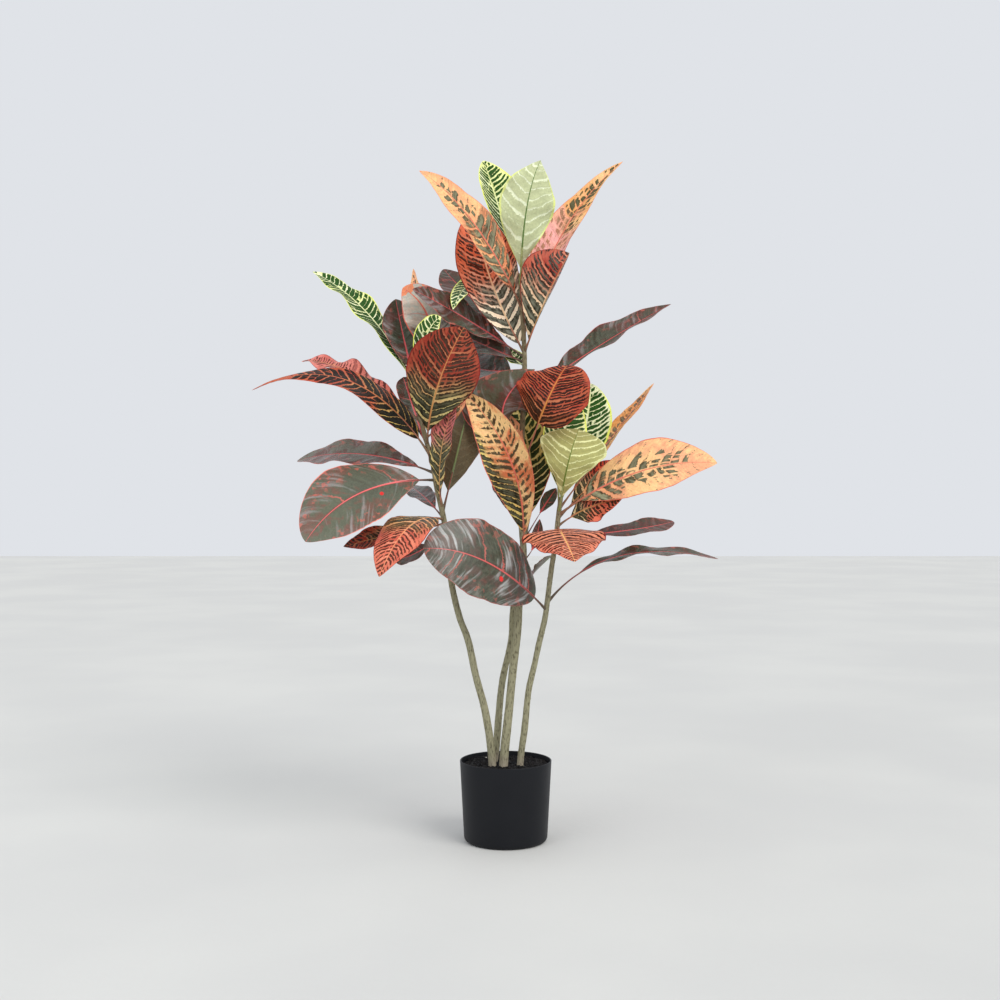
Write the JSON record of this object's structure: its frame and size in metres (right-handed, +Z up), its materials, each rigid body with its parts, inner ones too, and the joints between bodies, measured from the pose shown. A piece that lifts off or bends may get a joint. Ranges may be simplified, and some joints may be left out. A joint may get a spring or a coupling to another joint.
{
  "type": "potted croton",
  "caption": "Tall potted croton with slim leaning stems and large green, yellow, orange, red and dark leaves in a small black pot.",
  "frame": {"origin": "middle of the pot's flat underside, on the surface it stands on", "axes": "+Z up along the plant, +Y away from the front, +X to the right as seen from the front"},
  "size_m": [0.8053, 0.4154, 1.2156],
  "materials": {
    "pot": "matt black moulded plastic",
    "soil": "black granular soil, set with fine stones",
    "bark": "olive-tan bark with fine mottling",
    "leaf_young": "dark green blotches between yellow veins, pale underside",
    "leaf_green": "dark green with cream-yellow veins",
    "leaf_orange": "peach-orange with dark dashes and a salmon midrib",
    "leaf_red": "brick red with dark stripes, green and yellow at the base",
    "leaf_dark": "semi-gloss dark grey-green with pink-red midrib and margin"
  },
  "bodies": {
    "root": {"stem_left": "bark", "stem_rear": "bark", "stem_centre": "bark", "stem_right": "bark", "pot": "pot", "soil": "soil", "top_green_back": "leaf_young", "top_pale_front": "leaf_young", "top_orange_left": "leaf_orange", "top_red_left": "leaf_red", "top_orange_right": "leaf_orange", "top_red_right": "leaf_red", "top_dark_left": "leaf_dark", "top_dark_long": "leaf_dark", "top_dark_low": "leaf_dark", "top_dark_under": "leaf_dark", "top_green_bud": "leaf_young", "top_dark_right": "leaf_dark", "top_green_low": "leaf_young", "centre_dark": "leaf_dark", "centre_red_heart": "leaf_red", "centre_orange": "leaf_orange", "centre_dark_bud": "leaf_dark", "centre_dark_slip": "leaf_dark", "rear_green": "leaf_green", "centre_orange_small": "leaf_orange", "left_red_front": "leaf_red", "left_red_long": "leaf_red", "left_pink_rear": "leaf_red", "left_green": "leaf_young", "left_dark_top": "leaf_dark", "left_dark_side": "leaf_dark", "left_orange_spike": "leaf_orange", "left_green_small": "leaf_young", "left_dark_rear": "leaf_dark", "left_orange_small": "leaf_orange", "left_pink_small": "leaf_red", "left_olive": "leaf_dark", "left_dark_big": "leaf_dark", "left_dark_upper": "leaf_dark", "left_maroon_small": "leaf_dark", "left_orange_droop": "leaf_red", "left_red_tip": "leaf_red", "left_dark_low": "leaf_dark", "right_pale_front": "leaf_young", "right_green_rear": "leaf_young", "right_green_left": "leaf_young", "right_orange_thin": "leaf_orange", "right_orange_big": "leaf_orange", "right_red_upper": "leaf_red", "right_red_lower": "leaf_red", "right_dark_mid": "leaf_dark", "right_orange_front": "leaf_red", "right_dark_long": "leaf_dark", "right_dark_inner": "leaf_dark", "right_dark_big": "leaf_dark", "rear_dark_back": "leaf_dark", "left_dark_back": "leaf_dark", "centre_red_back": "leaf_red", "top_red_back": "leaf_red"}
  },
  "joints": []
}
